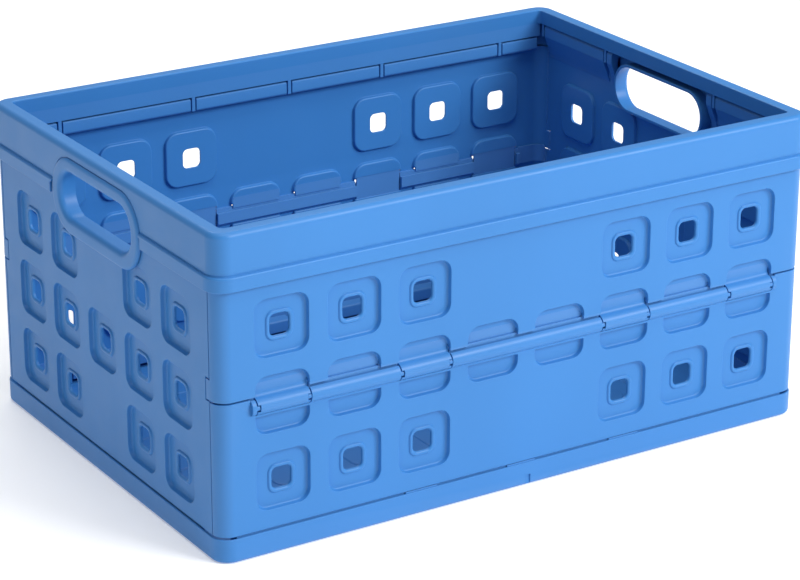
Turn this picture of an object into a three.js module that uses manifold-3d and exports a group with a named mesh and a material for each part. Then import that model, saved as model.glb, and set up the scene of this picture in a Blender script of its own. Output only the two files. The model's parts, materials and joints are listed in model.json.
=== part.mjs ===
// Collapsible storage crate: a base tray, two long walls that are each hinged at mid height,
// a top frame with a handle at each end, and two end walls that swing up inside the frame.
// Millimetres, +Z up, +X along the crate's length. The origin is the centre of its underside.
import * as THREE from "three";
import { mergeVertices } from "three/addons/utils/BufferGeometryUtils.js";
import Module from "manifold-3d";

// ---- overall sizes -------------------------------------------------------------------------
const HEIGHT = 252;
const LIP_HALF = [265, 183.9]; // the lip under the rim is the widest part
const RIM_HALF = [263, 181.9];
const RIM_INNER_HALF = [250.2, 169.1];
const BASE_HALF = [262.8, 181.65];
const FACE = [261.6, 180.4]; // outer faces of the end walls and of the long walls
const CORNER = 14; // plan radius of the base and the rim
const WALL = 2.4; // wall thickness of the four walls
const FRAME_WALL = 1.9; // wall thickness of the top frame and the base tray
const ARC_STEPS = 3; // straight steps in a quarter circle of the plan
const RECESS_STEPS = 1; // the same in the corner of a recess
const BARREL_STEPS = 8; // sides of a hinge barrel
const PIN_STEPS = 6; // sides of a stub pin and of its bore

// ---- heights -------------------------------------------------------------------------------
const FLOOR = 3; // thickness of the floor
const BASE_TOP = 19;
const WALL_BOTTOM = 20.5;
const LIP_BOTTOM = 208.5;
const LIP_TOP = 220;
const STRIP_TOP = 228.7; // underside of the rim's inner skirt on the long sides
const END_SKIRT = 240; // the same on the short sides
const SHOULDER = 216; // above it an end wall steps in, to pass behind the rim
const TOP_SKIN = 2.4;
const SKIRT = 2.2; // thickness of the rim's inner skirt
const SKIRT_CORNER = 4; // its plan radius, on the inside

// ---- hinges --------------------------------------------------------------------------------
const BARREL_Y = 174.3; // the bottom and top hinge lines of the long walls
const BOTTOM_AXIS_Z = 11.7;
const TOP_AXIS_Z = 222.3;
const BARREL_R = 5;
// The two halves of a long wall fold half way between those lines and a little further out.
const MID_AXIS = { y: 179.4, z: (BOTTOM_AXIS_Z + TOP_AXIS_Z) / 2 };
const MID_ROLL = { y: 177.15, r: 6.75, back: 176.2 }; // the proud roll round that axis
const END_AXIS = { x: 256, z: 234 }; // where an end wall swings
const END_BARREL_R = 4.8;
const PIN_R = 2.2;
const BORE_R = 2.8;
const PIN_DEPTH = 1.2; // how far a stub pin reaches into its bore
const SLIT = 1.1; // gap between a barrel and the rib beside it
const RIB = 3; // thickness of the hinge ribs
const RIB_RISE = 5.5; // how far a rib stands past its axis
const NOTCH_RISE = 1.7; // room in a wall past the end of its barrel, round a rib
const RIB_X = [-209.3, -89.7, 0, 89.7, 209.3];
const STRIP_END = 248; // half length of the top and bottom barrels
const END_RIB_Y = [74, 165.6]; // hinge ribs of the end walls, on both sides of the handle

// ---- the pattern of square recesses --------------------------------------------------------
const PITCH = 59.8;
const RECESS = { half: 21.7, pad: 23.7, radius: 9, depth: 3 };
const HOLE = { half: 8, rise: 8.2 };
const LONG_COLUMNS = [-3.5, -2.5, -1.5, -0.5, 0.5, 1.5, 2.5, 3.5].map((i) => i * PITCH);
const LONG_ROWS = { low: 57.2, middle: MID_AXIS.z, high: 175.2 };
const HOLE_COLUMNS = LONG_COLUMNS.filter((x) => Math.abs(x) > PITCH);
const END_COLUMNS = [-2, -1, 0, 1, 2].map((i) => i * PITCH);
const END_ROWS = [54, 111.9, 169.5];
const KNUCKLE_COLUMNS = [0, 2, 5, 7].map((i) => LONG_COLUMNS[i]);
const KNUCKLE_HALF = 21.6;
const KNUCKLE_GAP = 0.7;
const KNUCKLE_ROOM = 7.9; // how far below the axis the lower half is cut away round a knuckle
const SPLIT = { low: 123.6, high: 124.9 }; // edges of the two halves at the fold line

// ---- seams and handle ----------------------------------------------------------------------
const SEAM_Y = FACE[1] - 11.8; // the long walls turn the corner and end here
const SEAM_PLAY = 0.9; // gap between that edge and the end wall
const TAB = { y: 163.4, low: SPLIT.high, high: 140.6 }; // tongue of the upper half beside the seam
const SURROUND = { half: 70.7, low: 183.8, high: 243.8, radius: 29 };
const OPENING = { half: 57.5, low: 196.3, high: 232.7 };
const TUNNEL = { wall: 2.5, end: 251 };
const CUT_OUT = { half: 64.5, low: 191.5, radius: 24 }; // in the end wall, round the tunnel
const BLUE = 0x3f7fd0;

const wasm = await Module();
wasm.setup();

// ---- solids --------------------------------------------------------------------------------
function solidOf(geometry) {
  const flat = geometry.index ? geometry.toNonIndexed() : geometry;
  const bare = new THREE.BufferGeometry();
  bare.setAttribute("position", flat.getAttribute("position"));
  const merged = mergeVertices(bare, 1e-4);
  return new wasm.Manifold(
    new wasm.Mesh({
      numProp: 3,
      vertProperties: merged.attributes.position.array,
      triVerts: new Uint32Array(merged.index.array),
    }),
  );
}

function geometryOf(solid) {
  const mesh = solid.getMesh();
  const geometry = new THREE.BufferGeometry();
  geometry.setAttribute("position", new THREE.BufferAttribute(mesh.vertProperties, 3));
  geometry.setIndex(new THREE.BufferAttribute(mesh.triVerts, 1));
  geometry.computeVertexNormals();
  return geometry;
}

const joined = (solids) => solids.reduce((a, b) => a.add(b));
const without = (solid, cuts) => solid.subtract(joined(cuts));
const span = (side, a, b) => (side * a < side * b ? [side * a, side * b] : [side * b, side * a]);

function box([x0, y0, z0], [x1, y1, z1]) {
  const geometry = new THREE.BoxGeometry(x1 - x0, y1 - y0, z1 - z0);
  geometry.translate((x0 + x1) / 2, (y0 + y1) / 2, (z0 + z1) / 2);
  return solidOf(geometry);
}

// A plan outline pulled up from z0 to z1.
function slab(shape, z0, z1, steps = ARC_STEPS) {
  const geometry = new THREE.ExtrudeGeometry(shape, {
    depth: z1 - z0,
    bevelEnabled: false,
    curveSegments: steps / 2, // an arc gets two steps for each
  });
  geometry.translate(0, 0, z0);
  return solidOf(geometry);
}

// An outline drawn in (x, z), pulled along Y from y0 to y1.
function throughY(shape, y0, y1, steps = ARC_STEPS) {
  const geometry = new THREE.ExtrudeGeometry(shape, {
    depth: y1 - y0,
    bevelEnabled: false,
    curveSegments: steps / 2, // an arc gets two steps for each
  });
  geometry.applyMatrix4(
    new THREE.Matrix4().makeBasis(
      new THREE.Vector3(1, 0, 0),
      new THREE.Vector3(0, 0, 1),
      new THREE.Vector3(0, -1, 0),
    ),
  );
  geometry.translate(0, y1, 0);
  return solidOf(geometry);
}

// An outline drawn in (y, z), pulled along X from x0 to x1.
function throughX(shape, x0, x1, steps = ARC_STEPS) {
  const geometry = new THREE.ExtrudeGeometry(shape, {
    depth: x1 - x0,
    bevelEnabled: false,
    curveSegments: steps / 2, // an arc gets two steps for each
  });
  geometry.applyMatrix4(
    new THREE.Matrix4().makeBasis(
      new THREE.Vector3(0, 1, 0),
      new THREE.Vector3(0, 0, 1),
      new THREE.Vector3(1, 0, 0),
    ),
  );
  geometry.translate(x0, 0, 0);
  return solidOf(geometry);
}

function roundedRect(x0, x1, y0, y1, r) {
  const shape = new THREE.Shape();
  shape.moveTo(x1 - r, y0);
  shape.absarc(x1 - r, y0 + r, r, -Math.PI / 2, 0);
  shape.absarc(x1 - r, y1 - r, r, 0, Math.PI / 2);
  shape.absarc(x0 + r, y1 - r, r, Math.PI / 2, Math.PI);
  shape.absarc(x0 + r, y0 + r, r, Math.PI, 1.5 * Math.PI);
  shape.closePath();
  return shape;
}

const plan = ([hx, hy], r = CORNER) => roundedRect(-hx, hx, -hy, hy, r);
const shrunk = ([hx, hy], t) => [hx - t, hy - t];

function disc(u, v, r) {
  const shape = new THREE.Shape();
  shape.absarc(u, v, r, 0, 2 * Math.PI);
  shape.closePath();
  return shape;
}

const sidesOf = (r) => (r > BORE_R ? BARREL_STEPS : PIN_STEPS);
const rodX = (y, z, r, x0, x1) => throughX(disc(y, z, r), x0, x1, sidesOf(r));
const rodY = (x, z, r, y0, y1) => throughY(disc(x, z, r), y0, y1, sidesOf(r));

// ---- the square recesses -------------------------------------------------------------------
const square = (u, v, half, radius) => roundedRect(u - half, u + half, v - half, v + half, radius);

function window(u, v) {
  const shape = new THREE.Shape();
  shape.moveTo(u - HOLE.half, v - HOLE.rise);
  shape.lineTo(u + HOLE.half, v - HOLE.rise);
  shape.lineTo(u + HOLE.half, v + HOLE.rise);
  shape.lineTo(u - HOLE.half, v + HOLE.rise);
  shape.closePath();
  return shape;
}

// pull(shape, a, b, steps) is throughX or throughY, for a wall whose outer face is at -face.
function recessed(wall, face, places, pull) {
  const pads = places.map(([u, v]) =>
    pull(square(u, v, RECESS.pad, RECESS.radius), -face + 0.5, -face + RECESS.depth + WALL, RECESS_STEPS),
  );
  const cuts = places.map(([u, v]) =>
    pull(square(u, v, RECESS.half, RECESS.radius - 2), -face - 1, -face + RECESS.depth, RECESS_STEPS),
  );
  const holes = places
    .filter((place) => place[2])
    .map(([u, v]) => pull(window(u, v), -face - 1, -face + RECESS.depth + WALL + 1));
  return [joined([wall, ...pads]), [...cuts, ...holes]];
}

// ---- long walls (drawn for the front, at -Y) -----------------------------------------------
// Plan of a long wall: a straight run that turns both corners and ends at the seams.
function longWallPlan() {
  const [fx, fy] = FACE;
  const r = fy - SEAM_Y;
  const shape = new THREE.Shape();
  shape.moveTo(-fx, -SEAM_Y);
  shape.absarc(-fx + r, -fy + r, r, Math.PI, 1.5 * Math.PI);
  shape.absarc(fx - r, -fy + r, r, -Math.PI / 2, 0);
  shape.lineTo(fx - WALL, -SEAM_Y);
  shape.absarc(fx - r, -fy + r, r - WALL, 0, -Math.PI / 2, true);
  shape.absarc(-fx + r, -fy + r, r - WALL, 1.5 * Math.PI, Math.PI, true);
  shape.closePath();
  return shape;
}

// The stretches of a barrel between the ribs at RIB_X.
function barrelStretches() {
  const inner = RIB_X.map((x) => [x - RIB / 2 - SLIT, x + RIB / 2 + SLIT]);
  const edges = [-STRIP_END, ...inner.flat(), STRIP_END];
  const stretches = [];
  for (let i = 0; i < edges.length; i += 2) stretches.push([edges[i], edges[i + 1]]);
  return stretches;
}

// A barrel along a long wall, with a stub pin on each end that faces a rib.
function longBarrel(axisZ) {
  const reach = SLIT + PIN_DEPTH;
  return barrelStretches().flatMap(([x0, x1]) => {
    const pin0 = x0 === -STRIP_END ? x0 : x0 - reach;
    const pin1 = x1 === STRIP_END ? x1 : x1 + reach;
    return [
      rodX(-BARREL_Y, axisZ, BARREL_R, x0, x1),
      rodX(-BARREL_Y, axisZ, PIN_R, pin0, pin1),
    ];
  });
}

// The proud roll at the fold line: a circle with its back cut off flat.
function midRoll(x0, x1) {
  const { y, r, back } = MID_ROLL;
  const half = Math.acos((y - back) / r);
  const shape = new THREE.Shape();
  shape.absarc(-y, MID_AXIS.z, r, half, 2 * Math.PI - half);
  shape.closePath();
  return throughX(shape, x0, x1, BARREL_STEPS);
}

// The stretches of the lower half's roll between the knuckles of the upper half.
function lowerRollStretches() {
  const away = KNUCKLE_HALF + KNUCKLE_GAP;
  const edges = KNUCKLE_COLUMNS.flatMap((x) => [x - away, x + away]);
  const outer = 3.5; // the short rolls outside the outermost knuckles
  return [
    [edges[0] - outer, edges[0]],
    [edges[1], edges[2]],
    [edges[3], edges[4]],
    [edges[5], edges[6]],
    [edges[7], edges[7] + outer],
  ];
}

function lowerPanel() {
  const shell = slab(longWallPlan(), WALL_BOTTOM, SPLIT.low);
  const places = [
    ...HOLE_COLUMNS.map((x) => [x, LONG_ROWS.low, true]),
    ...LONG_COLUMNS.map((x) => [x, LONG_ROWS.middle, false]),
  ];
  const [padded, cuts] = recessed(shell, FACE[1], places, throughY);
  const web = box(
    [-STRIP_END, -BARREL_Y - BARREL_R + 0.1, BOTTOM_AXIS_Z],
    [STRIP_END, -FACE[1] + WALL + 2, WALL_BOTTOM + 2],
  );
  const ribNotches = RIB_X.map((x) =>
    box(
      [x - RIB / 2 - SLIT, -FACE[1] - 1, BOTTOM_AXIS_Z - BARREL_R - 1],
      [x + RIB / 2 + SLIT, -BARREL_Y + BARREL_R + 1, BOTTOM_AXIS_Z + BARREL_R + NOTCH_RISE],
    ),
  );
  const above = box([-300, -200, SPLIT.low], [300, -100, HEIGHT]);
  const knuckleRooms = KNUCKLE_COLUMNS.map((x) =>
    box(
      [x - KNUCKLE_HALF - KNUCKLE_GAP, -200, MID_AXIS.z - KNUCKLE_ROOM],
      [x + KNUCKLE_HALF + KNUCKLE_GAP, -170, HEIGHT],
    ),
  );
  const body = without(padded.add(web), [...cuts, ...ribNotches, above]);
  const rolls = lowerRollStretches().map(([x0, x1]) => midRoll(x0, x1));
  const pins = KNUCKLE_COLUMNS.flatMap((x) => {
    const reach = KNUCKLE_HALF - PIN_DEPTH;
    const far = KNUCKLE_HALF + KNUCKLE_GAP + 2;
    return [
      rodX(-MID_AXIS.y, MID_AXIS.z, PIN_R, x - far, x - reach),
      rodX(-MID_AXIS.y, MID_AXIS.z, PIN_R, x + reach, x + far),
    ];
  });
  return joined([
    without(joined([body, ...rolls]), knuckleRooms),
    ...pins,
    ...longBarrel(BOTTOM_AXIS_Z),
  ]);
}

function upperPanel() {
  const shell = slab(longWallPlan(), SPLIT.high, SHOULDER + 1);
  const tabs = [-1, 1].map((side) => {
    const [x0, x1] = span(side, FACE[0] - WALL, FACE[0]);
    return box([x0, -SEAM_Y - 1, TAB.low], [x1, -TAB.y, TAB.high]);
  });
  const places = [
    ...HOLE_COLUMNS.map((x) => [x, LONG_ROWS.high, true]),
    ...LONG_COLUMNS.map((x) => [x, LONG_ROWS.middle, false]),
  ];
  const [padded, cuts] = recessed(joined([shell, ...tabs]), FACE[1], places, throughY);
  const web = box(
    [-STRIP_END, -BARREL_Y - BARREL_R + 0.1, SHOULDER - 2],
    [STRIP_END, -FACE[1] + WALL + 2, TOP_AXIS_Z],
  );
  const ribNotches = RIB_X.map((x) =>
    box(
      [x - RIB / 2 - SLIT, -FACE[1] - 1, TOP_AXIS_Z - BARREL_R - NOTCH_RISE],
      [x + RIB / 2 + SLIT, -BARREL_Y + BARREL_R + 1, TOP_AXIS_Z + BARREL_R + 1],
    ),
  );
  const below = box([-300, -200, 0], [300, -100, SPLIT.high]);
  const body = without(padded.add(web), [...cuts, ...ribNotches, below]);
  const knuckles = KNUCKLE_COLUMNS.flatMap((x) => [
    midRoll(x - KNUCKLE_HALF, x + KNUCKLE_HALF),
    box(
      [x - KNUCKLE_HALF, -MID_ROLL.y - 1.5, MID_AXIS.z],
      [x + KNUCKLE_HALF, -FACE[1] + RECESS.depth + WALL - 0.3, SPLIT.high + 3],
    ),
  ]);
  const bores = KNUCKLE_COLUMNS.flatMap((x) =>
    [-1, 1].map((side) => {
      const mouth = x + side * (KNUCKLE_HALF + 1);
      const end = x + side * (KNUCKLE_HALF - PIN_DEPTH - 0.6);
      return rodX(-MID_AXIS.y, MID_AXIS.z, BORE_R, Math.min(mouth, end), Math.max(mouth, end));
    }),
  );
  const hinged = without(joined([body, ...knuckles]), bores);
  return joined([hinged, ...longBarrel(TOP_AXIS_Z)]);
}

// ---- base tray -----------------------------------------------------------------------------
// Ribs that carry the pins of a long barrel, on both long sides.
function longRibs(axisZ, z0, z1) {
  return [-1, 1].flatMap((side) =>
    RIB_X.map((x) => {
      const [y0, y1] = span(side, BARREL_Y - BARREL_R, FACE[1] - 0.4);
      const rib = box([x - RIB / 2, y0, z0], [x + RIB / 2, y1, z1]);
      return rib.subtract(rodX(side * BARREL_Y, axisZ, BORE_R, x - RIB, x + RIB));
    }),
  );
}

function baseTray() {
  const outer = slab(plan(BASE_HALF), 0, BASE_TOP);
  const inner = slab(plan(shrunk(BASE_HALF, 2), CORNER - 2), FLOOR, BASE_TOP + 1);
  const ribs = longRibs(BOTTOM_AXIS_Z, FLOOR - 1, BOTTOM_AXIS_Z + RIB_RISE);
  return joined([outer.subtract(inner), ...ribs]);
}

// ---- top frame -----------------------------------------------------------------------------
function handle(side) {
  const plate = throughX(
    roundedRect(-SURROUND.half, SURROUND.half, SURROUND.low, SURROUND.high, SURROUND.radius),
    ...span(side, LIP_HALF[0] - FRAME_WALL, LIP_HALF[0]),
  );
  const { wall, end } = TUNNEL;
  const { half, low, high: top } = OPENING;
  const radius = (top - low) / 2 - 0.5;
  const tube = throughX(
    roundedRect(-half - wall, half + wall, low - wall, top + wall, radius + wall),
    ...span(side, end, LIP_HALF[0] - 0.5),
  );
  const opening = throughX(
    roundedRect(-half, half, low, top, radius),
    ...span(side, end - 5, LIP_HALF[0] + 5),
  );
  return { solid: plate.add(tube), opening };
}

function topFrame() {
  const lip = slab(plan(LIP_HALF, CORNER + 2), LIP_BOTTOM, LIP_TOP);
  const rim = slab(plan(RIM_HALF), LIP_TOP, HEIGHT);
  const insideRim = shrunk(RIM_HALF, FRAME_WALL);
  const insideLip = shrunk(LIP_HALF, FRAME_WALL);
  const skirtBack = shrunk(RIM_INNER_HALF, -SKIRT);
  const channel = slab(plan(insideRim, CORNER - FRAME_WALL), 0, HEIGHT - TOP_SKIN).subtract(
    slab(plan(skirtBack, SKIRT_CORNER + SKIRT), -1, HEIGHT),
  );
  const [sx, sy] = skirtBack;
  const cuts = [
    slab(plan(RIM_INNER_HALF, SKIRT_CORNER), 0, HEIGHT + 1),
    channel,
    slab(plan(insideLip, CORNER), 0, LIP_TOP - FRAME_WALL),
    slab(plan([sx + 0.1, sy + 0.1], SKIRT_CORNER + 2), 0, STRIP_TOP),
    box([-sx - 0.1, -RIM_INNER_HALF[1] + 1, 0], [sx + 0.1, RIM_INNER_HALF[1] - 1, END_SKIRT]),
  ];
  const shell = without(lip.add(rim), cuts);
  const endRibs = [-1, 1].flatMap((side) =>
    END_RIB_Y.flatMap((y) =>
      [-y, y].map((at) => {
        const [x0, x1] = span(side, END_AXIS.x - END_BARREL_R, FACE[0] - 0.4);
        const rib = box([x0, at - RIB / 2, END_AXIS.z - RIB_RISE], [x1, at + RIB / 2, HEIGHT - 1]);
        return rib.subtract(rodY(side * END_AXIS.x, END_AXIS.z, BORE_R, at - RIB, at + RIB));
      }),
    ),
  );
  const handles = [-1, 1].map(handle);
  return without(
    joined([
      shell,
      ...longRibs(TOP_AXIS_Z, TOP_AXIS_Z - RIB_RISE, HEIGHT - 1),
      ...endRibs,
      ...handles.map((h) => h.solid),
    ]),
    handles.map((h) => h.opening),
  );
}

// ---- end wall (drawn for the left, at -X) --------------------------------------------------
function endPanel() {
  const [fx] = FACE;
  const half = SEAM_Y - SEAM_PLAY;
  const barrelOut = END_AXIS.x + END_BARREL_R;
  const wall = joined([
    box([-fx, -half, WALL_BOTTOM - 0.3], [-fx + WALL, half, SHOULDER]),
    box([-barrelOut + 0.2, -half, SHOULDER - 2.5], [-barrelOut + 0.2 + WALL, half, END_AXIS.z]),
    box([-BASE_HALF[0] + 2.5, -150, BOTTOM_AXIS_Z], [-fx + WALL + 2, 150, WALL_BOTTOM + 1.5]),
  ]);
  const plain = (y, z) => y === 0 && z !== END_ROWS[1]; // under the handle and at the bottom
  const places = END_COLUMNS.flatMap((y) => END_ROWS.map((z) => [y, z, true])).filter(
    ([y, z]) => !plain(y, z),
  );
  const [padded, cuts] = recessed(wall, fx, places, throughX);
  const notches = [-1, 1].map((side) => {
    const [y0, y1] = span(side, TAB.y - SEAM_PLAY, 200);
    return box([-300, y0, TAB.low - 1], [-200, y1, TAB.high + 1]);
  });
  const cutOut = throughX(
    roundedRect(-CUT_OUT.half, CUT_OUT.half, CUT_OUT.low, HEIGHT + 60, CUT_OUT.radius),
    -300,
    -200,
  );
  const ribNotches = END_RIB_Y.flatMap((y) =>
    [-y, y].map((at) =>
      box(
        [-300, at - RIB / 2 - SLIT, END_AXIS.z - 7],
        [-200, at + RIB / 2 + SLIT + (Math.abs(at) > 100 ? 0.1 : 0), HEIGHT],
      ),
    ),
  );
  const reach = SLIT + PIN_DEPTH;
  const [nearRib, farRib] = END_RIB_Y;
  const away = RIB / 2 + SLIT;
  const barrels = [-1, 1].flatMap((side) => {
    const rod = (r, a, b) => rodY(-END_AXIS.x, END_AXIS.z, r, ...span(side, a, b));
    return [
      rod(END_BARREL_R, CUT_OUT.half, nearRib - away),
      rod(PIN_R, CUT_OUT.half + 1, nearRib - away + reach),
      rod(END_BARREL_R, nearRib + away, farRib - away),
      rod(PIN_R, nearRib + away - reach, farRib - away + reach),
    ];
  });
  return joined([without(padded, [...cuts, ...notches, cutOut, ...ribNotches]), ...barrels]);
}

// ---- assembly ------------------------------------------------------------------------------
const plastic = () => new THREE.MeshStandardMaterial({ color: BLUE, roughness: 0.45, metalness: 0 });

function piece(name, solid, turn = 0) {
  const mesh = new THREE.Mesh(geometryOf(solid), plastic());
  mesh.name = name;
  mesh.rotation.z = turn;
  return mesh;
}

const lower = lowerPanel();
const upper = upperPanel();
const end = endPanel();
const crate = new THREE.Group();
crate.add(
  piece("base_tray", baseTray()),
  piece("lower_panel_front", lower),
  piece("lower_panel_back", lower, Math.PI),
  piece("upper_panel_front", upper),
  piece("upper_panel_back", upper, Math.PI),
  piece("top_frame", topFrame()),
  piece("end_panel_left", end),
  piece("end_panel_right", end, Math.PI),
);
export default crate;
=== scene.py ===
"""The looks of the collapsible storage crate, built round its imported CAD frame.

Every wall is a sheet made in its own flat coordinates: u along the wall, v up it and d into it, from
its outer face. Sizes below are in millimetres, and become metres when a mesh is made.
"""
import json
import math

import bmesh
import bpy
from mathutils import Matrix, Vector
from mathutils.geometry import tessellate_polygon

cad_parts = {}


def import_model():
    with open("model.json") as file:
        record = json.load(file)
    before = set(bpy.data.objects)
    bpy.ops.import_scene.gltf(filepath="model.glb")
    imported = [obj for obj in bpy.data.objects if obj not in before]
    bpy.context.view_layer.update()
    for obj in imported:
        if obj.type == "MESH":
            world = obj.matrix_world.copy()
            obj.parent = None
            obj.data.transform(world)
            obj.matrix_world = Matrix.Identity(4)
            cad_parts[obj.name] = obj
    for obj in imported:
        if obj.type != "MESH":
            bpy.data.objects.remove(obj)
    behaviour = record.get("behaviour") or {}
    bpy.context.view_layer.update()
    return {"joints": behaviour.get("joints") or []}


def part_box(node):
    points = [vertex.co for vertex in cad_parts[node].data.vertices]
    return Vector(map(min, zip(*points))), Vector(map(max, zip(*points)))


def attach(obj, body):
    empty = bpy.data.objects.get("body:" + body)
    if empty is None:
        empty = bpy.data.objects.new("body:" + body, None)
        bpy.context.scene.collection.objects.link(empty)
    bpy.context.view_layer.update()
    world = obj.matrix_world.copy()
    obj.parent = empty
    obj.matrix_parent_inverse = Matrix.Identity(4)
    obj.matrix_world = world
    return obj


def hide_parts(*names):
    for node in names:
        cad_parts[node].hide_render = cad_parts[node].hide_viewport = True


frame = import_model()
MM = 0.001


def corner_mm(node):
    """A CAD node's corner furthest along X, Y and Z, in millimetres."""
    return [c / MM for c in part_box(node)[1]]


# ---- sizes taken from the frame ---------------------------------------------------------------
LIP_X, LIP_Y, HEIGHT = corner_mm("top_frame")
BASE_X, BASE_Y, BASE_TOP = corner_mm("base_tray")
FACE_X = corner_mm("lower_panel_front")[0]
BASE_STEP = 1.25  # the base tray stands out this far from the long walls
FACE_Y = BASE_Y - BASE_STEP
SEAM_Y = -corner_mm("lower_panel_front")[1]  # the corner returns end here
TAB_Y = -corner_mm("upper_panel_front")[1]  # and the upper half's tongues here
END_HALF = corner_mm("end_panel_left")[1]
HINGES = {j["name"]: [c / MM for c in j["pos_m"]] for j in frame["joints"]}
MID_Z = HINGES["fold_front_middle"][2]
BOTTOM_Y, BOTTOM_Z = HINGES["fold_back_bottom"][1:]
TOP_Z = HINGES["fold_front_top"][2]
END_AXIS_X, _, END_AXIS_Z = HINGES["end_swing_right"]

# ---- sizes of the mouldings -------------------------------------------------------------------
WALL = 2.4
WALL_BOTTOM = 20.5
SPLIT_LOW = 123.6  # the gap between a long wall's halves starts here
SPLIT_HIGH = 124.9
TONGUE_TOP = 140.6  # the tongue at each end of the upper half
SHOULDER = 216.0  # the end walls' full width ends here
EDGE = 0.45  # rounding of a wall's edges
RECESS_DEPTH = 3.8
PITCH = 59.8
LONG_COLUMNS = [(i - 3.5) * PITCH for i in range(8)]
HOLE_COLUMNS = [x for x in LONG_COLUMNS if abs(x) > PITCH]
KNUCKLE_COLUMNS = [LONG_COLUMNS[i] for i in (0, 2, 5, 7)]
LONG_ROWS = (57.2, 175.2)
END_ROWS = (54.0, 111.9, 169.5)
END_COLUMNS = [i * PITCH for i in range(-2, 3)]
RECESS_HALF = 22.7
RECESS_RADIUS = 10.2
HINGE_END_RADIUS = 1.2  # of a recess where it runs into the hinge
PAD_DEPTH = 5.4  # from the outer face to the top of the pad inside
HOLE_HALF = 8.0
HOLE_RADIUS = 4.2
HOLE_RADIUS_GROWTH = 0.75  # of its rings, for each millimetre of half size
HOLE_TALLER = 0.25  # a hole is this much taller than wide, each way
CORNER_STEPS = 6
TURN_STEPS = 7  # of a long wall's corner
HALF_TURNS = [math.radians(t) for t in (0, 45, 90)]  # of a rounded edge
KNUCKLE_HALF = 21.5
KNUCKLE_GAP = 0.9
KNUCKLE_AIR = 0.12  # between a knuckle's underside and the wall it turns in
KNUCKLE_PIN_OUT = 4.0  # its pin's centre is this far outside the roll's
KNUCKLE_PIN_R = 2.1
SLOT_HALF = 2.7  # half the height of the slot that shows the pin at a knuckle's end
ROLL_Y = FACE_Y - 3.25
ROLL_R = 6.75
ROLL_END = 3.6  # the roll runs on this far past the outermost knuckles
LEDGE_Y = -FACE_Y + 7.2  # the inner face of the lower half's ledge
LEDGE_WIDTH = 2.4
LEDGE_TOP = 122.6
GROOVE_Z = 120.6  # the groove behind the roll, which makes the gap above it deep
RIB_X = (-209.3, -89.7, 0.0, 89.7, 209.3)  # the hinge ribs of the top frame and the base tray
RIB_HALF = 1.5
SLIT = 1.1  # between a rib and the hinge strips beside it
PIN_R = 2.2
STRIP_END = 248.0
BACKING = (1.3, 4.0)  # depths, from a long wall's face, of the strips behind its edges
LAP_DEPTHS = (2.1, 2.75, 4.1)  # of the lower half's upright edge: its foot, its top's and its inner face
LAP_FOOT = 112.0
LAP_STEP = 122.0
LAP_RISE = 2.3  # above the gap
LIP_BOTTOM = 208.5
LIP_TOP = 220.0
RIM_INSET = 2.0  # the rim stands this far inside the lip
RIM_WIDTH = 12.8
LIP_RADIUS = 16.0  # plan radius of the lip's corners
LIP_END = 73.6  # the lip's lower part stops here, beside the handle
GROOVE = 0.75  # between the handle's ring and the rim
STRIP_TOP = 228.7  # the foot of the long sides' inner skirt
END_SKIRT = 240.0  # the foot of the short sides'
SURROUND_HALF = 70.7
SURROUND_LOW = 183.8
SURROUND_HIGH = 243.8
SURROUND_RADIUS = 29.0
OPENING_HALF = 57.5
OPENING_LOW = 196.3
OPENING_HIGH = 232.7
TUNNEL_END = 251.0  # of the handle's tunnel, from the crate's middle
CUT_OUT_HALF = 64.5
CUT_OUT_LOW = 191.5
CUT_OUT_RADIUS = 24.0
END_RIB_Y = (74.0, 165.6)


# ---- outlines ---------------------------------------------------------------------------------
def rounded(u0, u1, v0, v1, r_low, r_high=None, steps=CORNER_STEPS):
    """A rounded rectangle, counter-clockwise from the start of its lower right corner."""
    r_high = r_low if r_high is None else r_high
    points = []
    corners = (
        (u1 - r_low, v0 + r_low, r_low, -90),
        (u1 - r_high, v1 - r_high, r_high, 0),
        (u0 + r_high, v1 - r_high, r_high, 90),
        (u0 + r_low, v0 + r_low, r_low, 180),
    )
    for cu, cv, r, start in corners:
        for i in range(steps + 1):
            a = math.radians(start + 90 * i / steps)
            points.append((cu + r * math.cos(a), cv + r * math.sin(a)))
    return points


def inset(points, e):
    """The same outline moved inwards by e, for points that run counter-clockwise."""
    moved = []
    for i, p in enumerate(points):
        a, b = points[i - 1], points[(i + 1) % len(points)]
        n = []
        for q0, q1 in ((a, p), (p, b)):
            du, dv = q1[0] - q0[0], q1[1] - q0[1]
            length = math.hypot(du, dv) or 1.0
            n.append((-dv / length, du / length))
        scale = e / max(1 + n[0][0] * n[1][0] + n[0][1] * n[1][1], 0.3)
        moved.append((p[0] + (n[0][0] + n[1][0]) * scale, p[1] + (n[0][1] + n[1][1]) * scale))
    return moved


def arc(cu, cv, r, start, end, steps):
    """Points on a circle, from one angle to another in degrees."""
    turns = [math.radians(start + (end - start) * i / steps) for i in range(steps + 1)]
    return [(cu + r * math.cos(a), cv + r * math.sin(a)) for a in turns]


def counter_clockwise(points):
    area = sum(p[0] * q[1] - q[0] * p[1] for p, q in zip(points, points[1:] + points[:1]))
    return points if area > 0 else points[::-1]


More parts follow.
